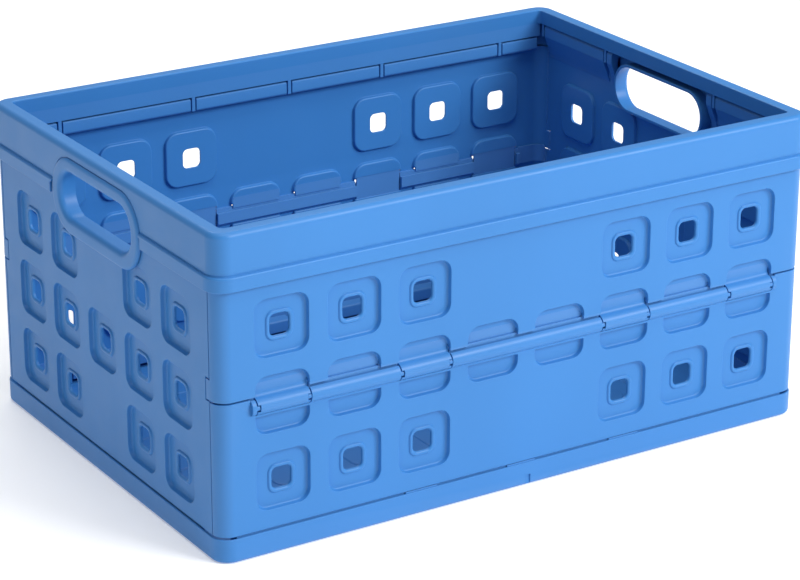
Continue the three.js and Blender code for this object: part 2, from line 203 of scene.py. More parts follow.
# ---- closed shells ----------------------------------------------------------------------------
class Shells:
    """Collects closed shells, which one object then holds."""

    def __init__(self):
        self.points = []
        self.faces = []

    def loop(self, points):
        first = len(self.points)
        self.points.extend(Vector(p) for p in points)
        return list(range(first, len(self.points)))

    def bridge(self, a, b):
        n = len(a)
        for i in range(n):
            j = (i + 1) % n
            self.faces.append((a[i], a[j], b[j], b[i]))

    def loft(self, rings):
        """Rings of points, each joined to the next; returns the first and the last ring's indices."""
        loops = [self.loop(ring) for ring in rings]
        for a, b in zip(loops, loops[1:]):
            self.bridge(a, b)
        return loops[0], loops[-1]

    def cap(self, outline, flat, holes=(), hole_flats=()):
        """Fills a flat outline, less its holes. flat holds the outline's own 2-D points."""
        rings = [outline, *holes]
        flats = [flat, *hole_flats]
        index = [i for ring in rings for i in ring]
        lists = [[Vector((u, v, 0)) for u, v in f] for f in flats]
        for tri in tessellate_polygon(lists):
            self.faces.append(tuple(index[k] for k in tri))

    def ring(self, rings):
        """Rings joined each to the next and the last to the first."""
        loops = [self.loop(r) for r in rings]
        for a, b in zip(loops, loops[1:] + loops[:1]):
            self.bridge(a, b)

    def prism(self, profile, a, b, place, round_a=0.4, round_b=0.4):
        """A profile pulled from a to b, its ends rounded. place(u, v, w) gives the point in space."""
        near = [(a + round_a * (1 - math.cos(t)), round_a * (1 - math.sin(t))) for t in HALF_TURNS]
        far = [(b - round_b * (1 - math.cos(t)), round_b * (1 - math.sin(t))) for t in HALF_TURNS]
        rings = near + far[::-1]
        flats = [inset(profile, e) for _, e in rings]
        first, last = self.loft(
            [[place(u, v, w) for u, v in flat] for (w, _), flat in zip(rings, flats)]
        )
        self.cap(first, flats[0])
        self.cap(last, flats[-1])


# ---- where flat coordinates lie in space ------------------------------------------------------
CORNER_R = 11.8  # plan radius of a long wall's corner, at its outer face
STRAIGHT = FACE_X - CORNER_R
ARC_LENGTH = CORNER_R * math.pi / 2
SEAM_U = STRAIGHT + ARC_LENGTH
TAB_U = SEAM_U + SEAM_Y - TAB_Y


def on_long_wall(u, v, d):
    """The front long wall, which turns both corners."""
    side = 1 if u > 0 else -1
    beyond = abs(u) - STRAIGHT
    if beyond <= 0:
        return (u, -FACE_Y + d, v)
    along = min(beyond, ARC_LENGTH)
    a = along / CORNER_R
    r = CORNER_R - d
    x = STRAIGHT + r * math.sin(a)
    y = -FACE_Y + CORNER_R - r * math.cos(a)
    return (side * x, y + (beyond - along), v)


def on_end_wall(u, v, d):
    """The left end wall."""
    return (-FACE_X + d, u, v)


def along_x(y, z, x):
    return (x, y, z)


def along_y(x, z, y):
    return (x, y, z)


# ---- the square recesses ----------------------------------------------------------------------
# (how far inside the recess's edge, depth), from the outer face to the recess's floor.
RECESS_SIDE = [
    (0, 0),
    (0.24, 0.05),
    (0.42, 0.18),
    (0.52, 0.4),
    (0.85, 2.2),
    (1.05, 2.9),
    (1.45, 3.4),
    (2.1, 3.7),
    (3.0, RECESS_DEPTH),
]
# (half size, depth), from the floor over the raised ring and through the hole.
HOLE_SIDE = [
    (11.9, RECESS_DEPTH),
    (11.4, 3.7),
    (11.05, 3.3),
    (10.75, 2.85),
    (10.3, 2.62),
    (9.7, 2.6),
    (9.1, 2.7),
    (8.5, 3.05),
    (8.15, 3.5),
    (HOLE_HALF, 4.1),
    (HOLE_HALF, 5.0),
    (8.12, 5.3),
    (8.5, PAD_DEPTH),
]
# (how far outside the recess's edge, depth), from the pad's flat top to the inner face.
PAD_SIDE = [
    (-0.6, PAD_DEPTH),
    (0.1, 5.28),
    (0.55, 4.9),
    (0.75, 4.4),
    (0.95, 3.1),
    (1.15, 2.65),
    (1.7, WALL),
]


class Cell:
    """A rounded square pressed into a wall: a recess outside and a pad inside."""

    def __init__(self, u, v0, v1, hole=False, r_low=RECESS_RADIUS, r_high=RECESS_RADIUS, pad_low=None):
        self.box = (u - RECESS_HALF, u + RECESS_HALF, v0, v1)
        self.radii = (r_low, r_high)
        self.hole = hole
        self.pad_low = v0 if pad_low is None else pad_low
        self.centre = (u, (v0 + v1) / 2)

    def outline(self, e, inner=False):
        """The cell's outline, e inside its edge (outside if negative)."""
        u0, u1, v0, v1 = self.box
        if inner:
            v0 = self.pad_low
        low, high = (max(r - e, 0.6) for r in self.radii)
        return rounded(u0 + e, u1 - e, v0 + e, v1 - e, low, high)

    def hole_outline(self, half):
        u, v = self.centre
        r = HOLE_RADIUS + (half - HOLE_HALF) * HOLE_RADIUS_GROWTH
        return rounded(u - half, u + half, v - half - HOLE_TALLER, v + half + HOLE_TALLER, r)

    def build(self, shells, place):
        """Adds the cell's surfaces and returns its openings in the two faces: (indices, points)."""
        outer = [(self.outline(e), d) for e, d in RECESS_SIDE]
        inner = [(self.outline(-e, True), d) for e, d in PAD_SIDE]
        if self.hole:
            outer += [(self.hole_outline(h), d) for h, d in HOLE_SIDE]
            whole = outer + inner
            first, last = shells.loft([[place(u, v, d) for u, v in o] for o, d in whole])
            return (first, outer[0][0]), (last, inner[-1][0])
        first, floor = shells.loft([[place(u, v, d) for u, v in o] for o, d in outer])
        pad, last = shells.loft([[place(u, v, d) for u, v in o] for o, d in inner])
        shells.cap(floor, outer[-1][0])
        shells.cap(pad, inner[0][0])
        return (first, outer[0][0]), (last, inner[-1][0])


def square_cell(u, v, hole=True):
    return Cell(u, v - RECESS_HALF, v + RECESS_HALF, hole)


EDGE_RINGS = [(EDGE * (1 - math.sin(t)), EDGE * (1 - math.cos(t))) for t in HALF_TURNS]


def sheet_rings(outline):
    """The rings round a wall's edge, from its outer face to its inner face: (points, depth)."""
    rings = [(inset(outline, e), d) for e, d in EDGE_RINGS]
    return rings + [(inset(outline, e), WALL - d) for e, d in reversed(EDGE_RINGS)]


def flat_wall(shells, outline, cells, place):
    """A flat wall with its cells."""
    rings = sheet_rings(outline)
    outer, inner = shells.loft([[place(u, v, d) for u, v in flat] for flat, d in rings])
    mouths = [cell.build(shells, place) for cell in cells]
    shells.cap(outer, rings[0][0], [m[0][0] for m in mouths], [m[0][1] for m in mouths])
    shells.cap(inner, rings[-1][0], [m[1][0] for m in mouths], [m[1][1] for m in mouths])


def long_wall(shells, v0, v1, cells, tab=None):
    """A long wall from v0 to v1, with both corners and, if tab gives its heights, both tongues."""
    steps = TURN_STEPS
    turn = [STRAIGHT + ARC_LENGTH * i / steps for i in range(steps + 1)]
    run = [-u for u in reversed(turn)] + turn
    right_tab = [(TAB_U, tab[0]), (TAB_U, tab[1]), (SEAM_U, tab[1])] if tab else []
    left_tab = [(-u, v) for u, v in reversed(right_tab)]
    bottom = [(u, v0) for u in run]
    top = [(u, v1) for u in reversed(run)]
    outline = bottom + right_tab + top + left_tab
    rings = sheet_rings(outline)
    outer, inner = shells.loft([[on_long_wall(u, v, d) for u, v in flat] for flat, d in rings])
    mouths = [cell.build(shells, on_long_wall) for cell in cells]
    n = len(run)
    t = len(right_tab)
    low = list(range(n))
    high = [2 * n + t - 1 - i for i in range(n)]
    for ring, flat, side in ((outer, rings[0][0], 0), (inner, rings[-1][0], 1)):
        for i in [*range(steps), *range(n - 1 - steps, n - 1)]:
            quad = [low[i], low[i + 1], high[i + 1], high[i]]
            if tab and i == 0:
                quad = [low[0], low[1], high[1], high[0], 2 * n + t]
            if tab and i == n - 2:
                quad = [low[i], low[i + 1], n + t - 1, high[i + 1], high[i]]
            shells.faces.append(tuple(ring[k] for k in quad))
        if tab:
            shells.faces.append(tuple(ring[k] for k in (n - 1, n, n + 1, n + 2)))
            k = 2 * n + t
            shells.faces.append(tuple(ring[j] for j in (k, k + 1, k + 2, 0)))
        middle = low[steps : n - steps] + [high[i] for i in range(n - 1 - steps, steps - 1, -1)]
        shells.cap(
            [ring[k] for k in middle],
            [flat[k] for k in middle],
            [m[side][0] for m in mouths],
            [m[side][1] for m in mouths],
        )


# ---- material ---------------------------------------------------------------------------------
def plastic(name, colour, roughness):
    """Satin injection-moulded polypropylene: a fine even grain, faint flow marks, slightly uneven gloss, and
    a painted highlight that lightens its convex edges.
    """
    material = bpy.data.materials.new(name)
    material.use_nodes = True
    nodes, links = material.node_tree.nodes, material.node_tree.links
    shader = nodes["Principled BSDF"]
    shader.inputs["IOR"].default_value = 1.49
    shader.inputs["Specular IOR Level"].default_value = 0.3
    place = nodes.new("ShaderNodeTexCoord")

    def noise(scale, detail, stretch=(1, 1, 1)):
        mapping = nodes.new("ShaderNodeMapping")
        mapping.inputs["Scale"].default_value = stretch
        texture = nodes.new("ShaderNodeTexNoise")
        texture.inputs["Scale"].default_value = scale
        texture.inputs["Detail"].default_value = detail
        links.new(place.outputs["Object"], mapping.inputs["Vector"])
        links.new(mapping.outputs["Vector"], texture.inputs["Vector"])
        return texture.outputs["Fac"]

    def ramp(source, low, high):
        span = nodes.new("ShaderNodeMapRange")
        span.inputs["From Min"].default_value = 0.3
        span.inputs["From Max"].default_value = 0.7
        span.inputs["To Min"].default_value = low
        span.inputs["To Max"].default_value = high
        links.new(source, span.inputs["Value"])
        return span.outputs["Result"]

    flow = noise(9, 3, (1, 1, 0.35))
    grain = noise(2600, 2)
    smear = noise(38, 4)
    tint = nodes.new("ShaderNodeMix")
    tint.data_type = "RGBA"
    tint.inputs["A"].default_value = (*[c * 0.965 for c in colour], 1)
    tint.inputs["B"].default_value = (*[min(c * 1.035, 1) for c in colour], 1)
    links.new(ramp(flow, 0, 1), tint.inputs["Factor"])
    # Painted highlight: the colour turns paler, towards white, on sharp convex edges. It stands in for the
    # thin highlights that light puts on those edges, not wear.
    edges = nodes.new("ShaderNodeNewGeometry")
    painted_edge_highlight_amount = nodes.new("ShaderNodeMapRange")
    painted_edge_highlight_amount.inputs["From Min"].default_value = 0.53
    painted_edge_highlight_amount.inputs["From Max"].default_value = 0.62
    painted_edge_highlight_amount.inputs["To Max"].default_value = 0.07
    links.new(edges.outputs["Pointiness"], painted_edge_highlight_amount.inputs["Value"])
    painted_edge_highlight = nodes.new("ShaderNodeMix")
    painted_edge_highlight.data_type = "RGBA"
    painted_edge_highlight.inputs["B"].default_value = (*[c * 0.6 + 0.4 for c in colour], 1)
    links.new(painted_edge_highlight_amount.outputs["Result"], painted_edge_highlight.inputs["Factor"])
    links.new(tint.outputs["Result"], painted_edge_highlight.inputs["A"])
    links.new(painted_edge_highlight.outputs["Result"], shader.inputs["Base Color"])
    links.new(ramp(smear, roughness - 0.035, roughness + 0.04), shader.inputs["Roughness"])
    bump = nodes.new("ShaderNodeBump")
    bump.inputs["Strength"].default_value = 0.12
    bump.inputs["Distance"].default_value = 0.00012
    links.new(grain, bump.inputs["Height"])
    wave = nodes.new("ShaderNodeBump")
    wave.inputs["Strength"].default_value = 0.15
    wave.inputs["Distance"].default_value = 0.0006
    links.new(noise(14, 2), wave.inputs["Height"])
    links.new(wave.outputs["Normal"], bump.inputs["Normal"])
    links.new(bump.outputs["Normal"], shader.inputs["Normal"])
    return material


BLUE = plastic("blue_polypropylene", (0.042, 0.205, 0.53), 0.4)


# ---- pieces -----------------------------------------------------------------------------------
def solid_mesh(name, shells):
    mesh = bpy.data.meshes.new(name)
    mesh.from_pydata([p * MM for p in shells.points], [], shells.faces)
    work = bmesh.new()
    work.from_mesh(mesh)
    bmesh.ops.remove_doubles(work, verts=work.verts, dist=1e-7)
    bmesh.ops.recalc_face_normals(work, faces=work.faces)
    work.to_mesh(mesh)
    work.free()
    return mesh


def cut_away(mesh, cutters):
    """The mesh less some closed shells."""
    target = bpy.data.objects.new("cut_target", mesh)
    tool = bpy.data.objects.new("cut_tool", solid_mesh("cut_tool", cutters))
    for o in (target, tool):
        bpy.context.scene.collection.objects.link(o)
    boolean = target.modifiers.new("cut", "BOOLEAN")
    boolean.operation = "DIFFERENCE"
    boolean.solver = "EXACT"
    boolean.use_self = True
    boolean.object = tool
    seen = target.evaluated_get(bpy.context.evaluated_depsgraph_get())
    made = bpy.data.meshes.new_from_object(seen)
    for o in (target, tool):
        bpy.data.objects.remove(o)
    return made


def with_mesh(name, *meshes):
    """Several meshes in one."""
    work = bmesh.new()
    for mesh in meshes:
        work.from_mesh(mesh)
    out = bpy.data.meshes.new(name)
    work.to_mesh(out)
    work.free()
    return out


def joined_mesh(name, mesh, extra):
    """A mesh and further shells in one mesh."""
    return with_mesh(name, mesh, solid_mesh(name, extra))


SHARP_ANGLE = math.radians(32)


def piece(name, mesh, body, node, turned=False):
    """Makes a piece that rides on a body and stands for its CAD node, turned half round for the far side."""
    mesh = mesh.copy()
    mesh.name = name
    if turned:
        mesh.transform(Matrix.Rotation(math.pi, 4, "Z"))
    mesh.materials.clear()
    mesh.materials.append(BLUE)
    for polygon in mesh.polygons:
        polygon.use_smooth = True
    mesh.set_sharp_from_angle(angle=SHARP_ANGLE)
    made = bpy.data.objects.new(name, mesh)
    bpy.context.scene.collection.objects.link(made)
    weighted = made.modifiers.new("weighted_normals", "WEIGHTED_NORMAL")
    weighted.keep_sharp = True
    weighted.weight = 90
    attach(made, body)
    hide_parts(node)


# ---- long walls -------------------------------------------------------------------------------
def roll_runs():
    """Where the lower half's roll runs, between and beyond the knuckles."""
    away = KNUCKLE_HALF + KNUCKLE_GAP
    edges = [x + side * away for x in KNUCKLE_COLUMNS for side in (-1, 1)]
    edges = [edges[0] - ROLL_END, *edges, edges[-1] + ROLL_END]
    return [(edges[i], edges[i + 1]) for i in range(0, len(edges), 2)]


def roll_profile():
    """The lower half's roll: round in front, a groove behind its top, and a ledge inside."""
    front = arc(-ROLL_Y, MID_Z, ROLL_R, 116, 270, 22)
    back = LEDGE_Y - LEDGE_WIDTH
    ledge = [(LEDGE_Y, MID_Z - 3.5), (LEDGE_Y, LEDGE_TOP), (back, LEDGE_TOP)]
    return [*front, *ledge, (back, GROOVE_Z), (-FACE_Y + BACKING[0], GROOVE_Z)]


def curve(p0, p1, p2, p3, steps=8):
    """A cubic Bezier curve's points."""
    points = []
    for i in range(steps + 1):
        t = i / steps
        weights = ((1 - t) ** 3, 3 * t * (1 - t) ** 2, 3 * t * t * (1 - t), t**3)
        points.append(tuple(sum(w * p[k] for w, p in zip(weights, (p0, p1, p2, p3))) for k in (0, 1)))
    return points


FOOT_TOP = 134.0  # the foot of an upper recess is made apart from the wall, up to here
FOOT_THICKNESS = 1.7


def knuckle_profile(floor):
    """The recess's floor turns out, in a small fillet, over the knuckle's round front."""
    start = 106
    reach = 1.4
    roll = arc(-ROLL_Y, MID_Z, ROLL_R, start, 270, 24)
    a = math.radians(start)
    y, z = roll[0]
    leave = (y + reach * math.sin(a), z - reach * math.cos(a))
    fillet = curve((floor, 128), (floor, 125.4), leave, (y, z))
    back = [(-FACE_Y + 4.4, MID_Z - ROLL_R), (-FACE_Y + 5.2, FOOT_TOP)]
    return [(floor, FOOT_TOP), *fillet[:-1], *roll, *back]


def foot_profile(floor):
    """The foot of a recess that has no knuckle: its floor runs down to the wall's lower edge."""
    inner = floor + FOOT_THICKNESS
    return [(floor, FOOT_TOP), (floor, SPLIT_HIGH), (inner, SPLIT_HIGH), (inner, FOOT_TOP)]


def circle(u, v, r):
    """A circle of 24 points."""
    return arc(u, v, r, 0, 345, 23)


def stub_pin(shells, x0, x1, y, z, r):
    shells.prism(circle(y, z, r), x0, x1, along_x, 0.3, 0.3)


def barrel_profile(axis_z, side):
    """The hinge strip of a long wall: flat towards the crate's inside. side is 1 at the top, -1 below."""
    y_in, y_out = -BOTTOM_Y + 5, -BOTTOM_Y - 5
    top = axis_z + side * 5.2
    low = axis_z - side * 6
    points = [(y_in, low + side * 2.4), (y_in - 0.3, low + side * 1.2), (y_in - 1.1, low + side * 0.4)]
    points += [(y_in - 2.4, low), (y_out, low - side * 2), (y_out, axis_z)]
    points += [(y_out + 1.5, top - side * 1), (y_out + 3.5, top), (y_in - 1.5, top)]
    return points + [(y_in - 0.4, top - side * 0.4), (y_in, top - side * 1.5)]


def stretches():
    """Where the hinge strips run, between the ribs."""
    edges = [-STRIP_END]
    for x in RIB_X:
        edges += [x - RIB_HALF - SLIT, x + RIB_HALF + SLIT]
    edges.append(STRIP_END)
    return [(edges[i], edges[i + 1]) for i in range(0, len(edges), 2)]


def hinge_strips(shells, axis_z, side):
    profile = counter_clockwise(barrel_profile(axis_z, side))
    for x0, x1 in stretches():
        shells.prism(profile, x0, x1, along_x, 0.5, 0.5)
    for x in RIB_X:
        for way in (-1, 1):
            a, b = sorted((x + way * (RIB_HALF - 1.2), x + way * (RIB_HALF + SLIT + 1)))
            stub_pin(shells, a, b, -BOTTOM_Y, axis_z, PIN_R)


def backing(shells, low, high):
    """A strip behind a long wall's edge, which joins the wall to its hinge strip."""
    y_out, y_in = (-FACE_Y + d for d in BACKING)
    strip = [(y_out, low), (y_in, low), (y_in, high), (y_out, high)]
    shells.prism(strip, -STRIP_END, STRIP_END, along_x)


def corner_lap(shells, side, start):
    """An upright edge behind the gap, from the roll's end round the corner to the seam."""
    foot, back, inner = LAP_DEPTHS
    top = SPLIT_HIGH + LAP_RISE
    lap = [(foot, LAP_FOOT), (inner, LAP_FOOT), (inner, top), (back, top), (back, LAP_STEP), (foot, LAP_STEP)]
    turn = [STRAIGHT + ARC_LENGTH * i / TURN_STEPS for i in range(TURN_STEPS)]
    stops = [start, STRAIGHT - 2, *turn, SEAM_U - 0.6]
    first, last = shells.loft([[on_long_wall(side * u, v, d) for d, v in lap] for u in stops])
    shells.cap(first, lap)
    shells.cap(last, lap)


CUT_Y = (-200, -150)  # a cutter that runs right through the front wall
CUT_TOP = SPLIT_LOW + 20


def lower_half():
    shells = Shells()
    low, high = MID_Z - RECESS_HALF, MID_Z - 7.2
    cells = [square_cell(x, LONG_ROWS[0]) for x in HOLE_COLUMNS]
    cells += [Cell(x, low, high, r_high=HINGE_END_RADIUS) for x in LONG_COLUMNS]
    long_wall(shells, WALL_BOTTOM, SPLIT_LOW, cells)
    rooms = Shells()
    for x in KNUCKLE_COLUMNS:
        reach = KNUCKLE_HALF + KNUCKLE_GAP
        under = arc(-ROLL_Y, MID_Z, ROLL_R + KNUCKLE_AIR, 180, 270, 16)
        outer, inner = CUT_Y
        room = [(outer, MID_Z), *under, (inner, under[-1][1]), (inner, CUT_TOP), (outer, CUT_TOP)]
        rooms.prism(counter_clockwise(room), x - reach, x + reach, along_x, 0.1, 0.1)
    runs = roll_runs()
    for x0, x1 in runs:
        groove = rounded(x0 - 0.3, x1 + 0.3, GROOVE_Z - 0.2, CUT_TOP, 0.5, steps=2)
        rooms.prism(groove, CUT_Y[0] - 1, CUT_Y[1] - 1, along_y, 0.1, 0.1)
    mesh = cut_away(solid_mesh("lower_half", shells), rooms)
    extra = Shells()
    for side in (-1, 1):
        corner_lap(extra, side, runs[-1][1] - 0.2)
    profile = counter_clockwise(roll_profile())
    for x0, x1 in runs:
        extra.prism(profile, x0, x1, along_x, 0.35, 0.35)
    for x in KNUCKLE_COLUMNS:
        for way in (-1, 1):
            a, b = sorted((x + way * (KNUCKLE_HALF - 1.8), x + way * (KNUCKLE_HALF + KNUCKLE_GAP + 1)))
            stub_pin(extra, a, b, -ROLL_Y - KNUCKLE_PIN_OUT, MID_Z, KNUCKLE_PIN_R)
    hinge_strips(extra, BOTTOM_Z, -1)
    backing(extra, BOTTOM_Z, WALL_BOTTOM + 2.5)
    return joined_mesh("lower_half", mesh, extra)


def hanging_edge():
    """The section of a thin edge that hangs from the upper half, behind the gap."""
    y_out, y_in = -FACE_Y + 2.2, -FACE_Y + 4.3
    low, high = SPLIT_HIGH - 3.6, SPLIT_HIGH + 1.1
    return [(y_out, low), (y_in, low), (y_in, high), (y_out, high)]


def upper_half():
    shells = Shells()
    low = SPLIT_HIGH + 1.4
    high = MID_Z + RECESS_HALF
    cells = [square_cell(x, LONG_ROWS[1]) for x in HOLE_COLUMNS]
    cells += [Cell(x, low, high, r_low=HINGE_END_RADIUS, pad_low=low + 2) for x in LONG_COLUMNS]
    long_wall(shells, SPLIT_HIGH, LIP_TOP - 3, cells, (SPLIT_HIGH, TONGUE_TOP))
    feet = Shells()
    for x in LONG_COLUMNS:
        reach = RECESS_HALF - 0.6
        foot = rounded(x - reach, x + reach, SPLIT_HIGH - 9, SPLIT_HIGH + 4.8, 0.5, steps=2)
        feet.prism(foot, *CUT_Y, along_y, 0.1, 0.1)
    wall = cut_away(solid_mesh("upper_half", shells), feet)
    recess_floor = -FACE_Y + RECESS_DEPTH - 0.03
    profile = counter_clockwise(knuckle_profile(recess_floor))
    knuckles = Shells()
    slots = Shells()
    for x in KNUCKLE_COLUMNS:
        knuckles.prism(profile, x - KNUCKLE_HALF, x + KNUCKLE_HALF, along_x, 0.35, 0.35)
        for way in (-1, 1):
            a, b = sorted((x + way * (KNUCKLE_HALF - 2.3), x + way * (KNUCKLE_HALF + 1)))
            slot = rounded(-190, -FACE_Y + 1.9, MID_Z - SLOT_HALF, MID_Z + SLOT_HALF, 0.5, steps=2)
            slots.prism(slot, a, b, along_x, 0.1, 0.1)
    extra = Shells()
    profile = counter_clockwise(foot_profile(recess_floor))
    for x in LONG_COLUMNS:
        if x not in KNUCKLE_COLUMNS:
            reach = RECESS_HALF - 0.65
            extra.prism(profile, x - reach, x + reach, along_x, 0.1, 0.1)
    for x0, x1 in roll_runs():
        extra.prism(hanging_edge(), x0, x1, along_x, 0.2, 0.2)
    hinge_strips(extra, TOP_Z, 1)
    backing(extra, LIP_TOP - 6, TOP_Z)
    hinged = joined_mesh("upper_half", cut_away(solid_mesh("knuckles", knuckles), slots), extra)
    return with_mesh("upper_half", wall, hinged)


# ---- end walls --------------------------------------------------------------------------------
END_BARREL_OUT = 4.6  # its outer face, from the hinge's axis
CUT_X = (-300, -200)  # a cutter that runs right through the left end wall
TONGUE_HALF = 150.0


def end_barrel_profile():
    """The barrel along an end wall's top, with a ramp under it on the inside."""
    x, z = -END_AXIS_X, END_AXIS_Z
    ramp = [(x - END_BARREL_OUT, z - 24), (x - 2.4, z - 24), (x - 1.4, z - 20), (x + 4.4, z - 5.5)]
    inside = [(x + 4.8, z - 4), (x + 4.8, z + 3.4), (x + 3.4, z + 4.8)]
    return [*ramp, *inside, (x - 3.2, z + 4.8), (x - END_BARREL_OUT, z + 3.4)]


def end_wall():
    shells = Shells()
    notch_y = TAB_Y - 0.9
    low, high = SPLIT_HIGH - 1, TONGUE_TOP + 1
    right = [(END_HALF, WALL_BOTTOM - 0.3), (END_HALF, low), (notch_y, low)]
    right += [(notch_y, high), (END_HALF, high), (END_HALF, SHOULDER)]
    outline = right + [(-u, v) for u, v in reversed(right)]
    cells = []
    for y in END_COLUMNS:
        for z in END_ROWS:
            if y == 0 and z != END_ROWS[1]:
                continue
            cells.append(square_cell(y, z))
    flat_wall(shells, outline, cells, on_end_wall)
    low = SHOULDER - 2.5
    stepped = [(-END_HALF, low), (END_HALF, low), (END_HALF, END_AXIS_Z), (-END_HALF, END_AXIS_Z)]
    out_x = -(END_AXIS_X + END_BARREL_OUT)
    shells.prism(stepped, out_x, out_x + WALL, along_x, 0.3, 0.3)
    room = Shells()
    u_shape = rounded(-CUT_OUT_HALF, CUT_OUT_HALF, CUT_OUT_LOW, 300, CUT_OUT_RADIUS, 20)
    room.prism(u_shape, *CUT_X, along_x, 0.1, 0.1)
    mesh = cut_away(solid_mesh("end_wall", shells), room)
    extra = Shells()
    near, far = END_RIB_Y
    gap = RIB_HALF + SLIT
    for side in (-1, 1):
        for a, b in ((CUT_OUT_HALF, near - gap), (near + gap, far - gap)):
            y0, y1 = sorted((side * a, side * b))
            extra.prism(counter_clockwise(end_barrel_profile()), y0, y1, along_y, 0.5, 0.5)
        y0, y1 = sorted((side * (near - gap - 2), side * (near + gap + 2)))
        extra.prism(circle(-END_AXIS_X, END_AXIS_Z, PIN_R), y0, y1, along_y, 0.2, 0.2)
    # a tongue behind the base tray's wall
    x_out, x_in = -FACE_X + 1.4, -FACE_X + 3.8
    high = WALL_BOTTOM + 2.0
    tongue = [(x_out, BOTTOM_Z), (x_in, BOTTOM_Z), (x_in, high), (x_out, high)]
    extra.prism(tongue, -TONGUE_HALF, TONGUE_HALF, along_y)
    return joined_mesh("end_wall", mesh, extra)


# ---- base tray --------------------------------------------------------------------------------
def plan_ring(half_x, half_y, r, z, steps=9):
    return [(x, y, z) for x, y in rounded(-half_x, half_x, -half_y, half_y, r, steps=steps)]


BASE_RADIUS = 14.0  # plan radius of the tray's corners
FLOOR_TOP = 3.0
# The tray's wall, from its underside over its top edge to the floor: (inside its outer face, height).
TRAY_SECTION = [
    (4.2, 0.0),
    (2.6, 0.2),
    (1.2, 0.9),
    (0.35, 2.0),
    (0.0, 3.6),
    (0.0, BASE_TOP - 0.8),
    (0.1, BASE_TOP - 0.3),
    (0.45, BASE_TOP),
    (1.55, BASE_TOP),
    (1.9, BASE_TOP - 0.3),
    (2.0, BASE_TOP - 0.9),
    (2.0, 4.2),
    (2.4, 3.3),
    (3.4, FLOOR_TOP),
]
FLOOR_PITCH = (68.0, 66.0)
# The floor's raised squares: (half size, height), from the floor to a square's top.
FLOOR_SQUARE = [(27, FLOOR_TOP), (26.6, 3.1), (26.0, 3.75), (25.2, 4.0)]
FLOOR_SQUARE_RADIUS = 10
TAB_RISE = 1.25  # of the tabs on the tray's long walls
TABS = ((-106, -78.5), (-15.7, 9.5), (78.5, 106))  # along the back wall


def floor_square(shells, u, v):
    """Adds a raised square and returns its foot: (indices, points)."""
    widest = FLOOR_SQUARE[0][0]
    flats = []
    for half, _ in FLOOR_SQUARE:
        r = FLOOR_SQUARE_RADIUS - (widest - half)
        flats.append(rounded(u - half, u + half, v - half, v + half, r))
    first, last = shells.loft(
        [[(x, y, z) for x, y in flat] for flat, (_, z) in zip(flats, FLOOR_SQUARE)]
    )
    shells.cap(last, flats[-1])
    return first, flats[0]


def base_tray():
    shells = Shells()
    rings = [plan_ring(BASE_X - e, BASE_Y - e, BASE_RADIUS - e, z) for e, z in TRAY_SECTION]
    under, floor = shells.loft(rings)
    shells.cap(under, [(p[0], p[1]) for p in rings[0]])
    feet = []
    for i in range(-3, 4):
        for j in range(-2, 3):
            feet.append(floor_square(shells, i * FLOOR_PITCH[0], j * FLOOR_PITCH[1]))
    shells.cap(floor, [(p[0], p[1]) for p in rings[-1]], [f[0] for f in feet], [f[1] for f in feet])
    for side in (-1, 1):
        for x in RIB_X:
            y0, y1 = sorted((side * (BOTTOM_Y - 5), side * (BASE_Y - 1.6)))
            rib = rounded(y0, y1, 2.5, BOTTOM_Z + 5.5, 0.4, 3.0, steps=3)
            shells.prism(rib, x - RIB_HALF, x + RIB_HALF, along_x, 0.3, 0.3)
        for x0, x1 in TABS:
            y0, y1 = sorted((side * (BASE_Y - 2.0), side * (BASE_Y - 1.0)))
            low, high = BASE_TOP - 4, BASE_TOP + TAB_RISE
            tab = [(y0, low), (y1, low), (y1, high), (y0, high)]
            a, b = sorted((-side * x0, -side * x1))
            shells.prism(tab, a, b, along_x, 0.2, 0.2)
    notches = Shells()
    for side in (-1, 1):
        y0, y1 = sorted((side * (BASE_Y - 1.1), side * (BASE_Y + 3)))
        x = -side * 2.7
        notch = [(y0, -2), (y1, -2), (y1, 9), (y0, 9)]
        notches.prism(notch, x - 2.3, x + 2.3, along_x, 0.2, 0.2)
    return cut_away(solid_mesh("base_tray", shells), notches)


# ---- top frame --------------------------------------------------------------------------------
RIM_EDGE = 4.6  # the radius of the rim's outer edge
LIP_EDGE = 1.6
RIM_INSIDE = RIM_INSET + RIM_WIDTH
RIM_TOP = [
    (e, z, LIP_RADIUS - e)
    for e, z in arc(RIM_INSET + RIM_EDGE, HEIGHT - RIM_EDGE, RIM_EDGE, 180, 90, 8)
]
LIP_UPPER = [
    (e, z, LIP_RADIUS - e) for e, z in arc(LIP_EDGE, LIP_TOP - LIP_EDGE, LIP_EDGE, 180, 100, 5)
]
